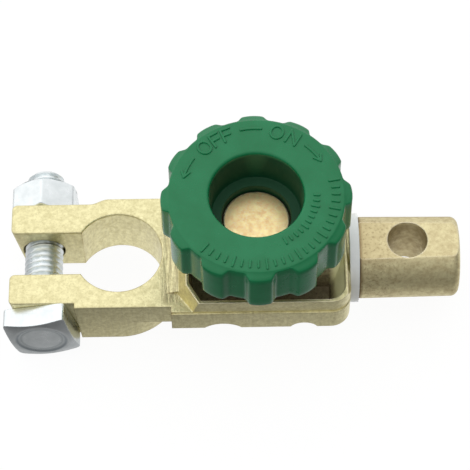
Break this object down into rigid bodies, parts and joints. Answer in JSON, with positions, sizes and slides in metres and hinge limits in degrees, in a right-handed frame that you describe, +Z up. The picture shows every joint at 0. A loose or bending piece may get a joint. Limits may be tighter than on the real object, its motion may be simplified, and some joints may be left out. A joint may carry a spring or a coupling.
{
  "type": "battery terminal disconnect switch",
  "caption": "Cast brass clamp for a battery post with a knob-operated screw switch and an insulated cable terminal that has a cross hole.",
  "frame": {"origin": "axis of the battery post bore, at the clamp's underside", "axes": "+Z up along the post axis, +X from the post towards the cable terminal, the clamp bolt lies along Y with its head at -Y"},
  "size_m": [0.0935, 0.0413, 0.0378],
  "materials": {
    "cast_brass": "cast, bead blasted, cut faces satin",
    "terminal_brass": "forged and tumbled",
    "turned_brass": "turned, bright",
    "contact_metal": "silver plated",
    "zinc_plate": "bright zinc plated",
    "green_plastic": "moulded, semi gloss",
    "nylon": "natural nylon, satin"
  },
  "bodies": {
    "base": {"clamp_body": "cast_brass", "clamp_bolt": "zinc_plate", "clamp_nut": "zinc_plate", "cable_terminal": "terminal_brass", "insulating_bush": "nylon", "insulating_cup": "nylon", "locating_screw": "nylon"},
    "pad": {"contact_pad": "contact_metal"},
    "knob": {"knob": "green_plastic", "contact_screw": "turned_brass"}
  },
  "joints": [
    {"name": "knob_lift", "type": "slide", "parent": "base", "child": "pad", "axis": [0, 0, 1], "range_m": [0, 0.0045]},
    {"name": "knob_turn", "type": "hinge", "parent": "pad", "child": "knob", "pos_m": [0.02842, 0, 0.0249], "axis": [0, 0, 1], "range_deg": [0, 1080]}
  ],
  "couplings": [
    {"joint": "knob_lift", "follows": "knob_turn", "m_per_rad": 0.00023873}
  ]
}
